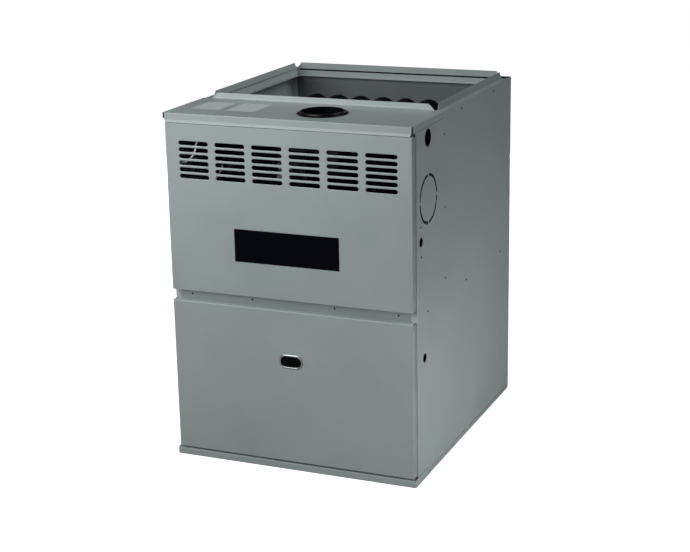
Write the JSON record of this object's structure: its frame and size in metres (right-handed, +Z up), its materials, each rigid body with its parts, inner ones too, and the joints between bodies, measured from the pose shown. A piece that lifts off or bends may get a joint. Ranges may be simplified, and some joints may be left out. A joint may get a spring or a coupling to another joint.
{
  "type": "forced air gas furnace",
  "caption": "Upflow gas furnace cabinet with lift-off doors, louvres, in-shot burners, serpentine heat exchanger, draft inducer and direct-drive blower.",
  "frame": {"origin": "middle of the base rectangle, at the underside of the floor", "axes": "+Z up, +X to the right when facing the doors, doors face -Y"},
  "size_m": [0.6248, 0.7308, 0.8685],
  "materials": {
    "cabinet_paint": "satin grey-green powder coat",
    "galvanised_steel": "galvanised, faint spangle",
    "aluminised_steel": "aluminised, matt",
    "cast_aluminium": "cast, matt",
    "black_paint": "satin black",
    "black_plastic": "smooth black",
    "red_plastic": "moulded",
    "white_plastic": "moulded",
    "white_silicone": "smooth silicone",
    "vent_gasket_rubber": "matt",
    "smoked_glass": "dark, glossy",
    "circuit_board": "solder mask with moulded parts",
    "ceramic": "unglazed ceramic"
  },
  "bodies": {
    "cabinet": {"right_side_panel": "cabinet_paint", "left_side_panel": "cabinet_paint", "rear_panel": "cabinet_paint", "bottom_panel": "cabinet_paint", "bottom_front_rail": "cabinet_paint", "middle_rail": "cabinet_paint", "top_plate": "cabinet_paint", "duct_flange_right": "cabinet_paint", "duct_flange_left": "cabinet_paint", "duct_flange_rear": "cabinet_paint", "vestibule_panel": "galvanised_steel", "blower_deck": "galvanised_steel", "vent_adapter": "black_paint", "vent_gasket": "vent_gasket_rubber", "inducer_housing": "black_paint", "inducer_motor": "galvanised_steel", "collector_box": "aluminised_steel", "heat_exchanger_tube_1": "aluminised_steel", "heat_exchanger_tube_2": "aluminised_steel", "heat_exchanger_tube_3": "aluminised_steel", "heat_exchanger_tube_4": "aluminised_steel", "heat_exchanger_tube_5": "aluminised_steel", "heat_exchanger_tube_6": "aluminised_steel", "burner_1": "aluminised_steel", "burner_2": "aluminised_steel", "burner_3": "aluminised_steel", "burner_4": "aluminised_steel", "burner_5": "aluminised_steel", "burner_6": "aluminised_steel", "burner_rack": "galvanised_steel", "gas_manifold": "black_paint", "gas_valve": "cast_aluminium", "hot_surface_igniter": "ceramic", "flame_sensor": "ceramic", "rollout_switch_right": "black_plastic", "rollout_switch_left": "black_plastic", "pressure_switch": "black_plastic", "pressure_hose": "white_silicone", "junction_box": "galvanised_steel", "blower_housing": "galvanised_steel", "blower_motor": "cast_aluminium", "motor_mount": "galvanised_steel", "control_panel": "galvanised_steel", "control_board": "circuit_board", "transformer": "black_paint", "run_capacitor": "cast_aluminium", "door_switch": "black_plastic"},
    "upper_door": {"upper_door": "cabinet_paint", "nameplate": "black_plastic"},
    "lower_door": {"lower_door": "cabinet_paint", "sight_window_bezel": "cabinet_paint", "sight_window_glass": "smoked_glass"},
    "blower_wheel": {"blower_wheel": "galvanised_steel"},
    "inducer_rotor": {"inducer_wheel": "galvanised_steel", "inducer_cooling_fan": "black_plastic"},
    "gas_valve_lever": {"gas_valve_lever": "black_plastic"},
    "door_switch_plunger": {"door_switch_plunger": "white_plastic"},
    "rollout_reset_right": {"reset_button_right": "red_plastic"},
    "rollout_reset_left": {"reset_button_left": "red_plastic"}
  },
  "joints": [
    {"name": "upper_door_lift_off", "type": "slide", "parent": "cabinet", "child": "upper_door", "axis": [0, -1, 0], "range_m": [0, 0.15]},
    {"name": "lower_door_lift_off", "type": "slide", "parent": "cabinet", "child": "lower_door", "axis": [0, -1, 0], "range_m": [0, 0.15]},
    {"name": "blower_wheel_spin", "type": "hinge", "parent": "cabinet", "child": "blower_wheel", "pos_m": [0, 0.00285, 0.205], "axis": [1, 0, 0], "continuous": true},
    {"name": "inducer_spin", "type": "hinge", "parent": "cabinet", "child": "inducer_rotor", "pos_m": [-0.00004, -0.25215, 0.726], "axis": [0, 1, 0], "continuous": true},
    {"name": "gas_valve_lever_turn", "type": "hinge", "parent": "cabinet", "child": "gas_valve_lever", "pos_m": [-0.2261, -0.32715, 0.524], "axis": [0, 1, 0], "range_deg": [0, 40]},
    {"name": "door_switch_press", "type": "slide", "parent": "cabinet", "child": "door_switch_plunger", "axis": [0, 1, 0], "range_m": [0, 0.003], "stiffness_N_per_m": 200, "springref_m": -0.003},
    {"name": "rollout_reset_right_press", "type": "slide", "parent": "cabinet", "child": "rollout_reset_right", "axis": [-1, 0, 0], "range_m": [0, 0.0015], "stiffness_N_per_m": 200, "springref_m": -0.0015},
    {"name": "rollout_reset_left_press", "type": "slide", "parent": "cabinet", "child": "rollout_reset_left", "axis": [1, 0, 0], "range_m": [0, 0.0015], "stiffness_N_per_m": 200, "springref_m": -0.0015}
  ]
}
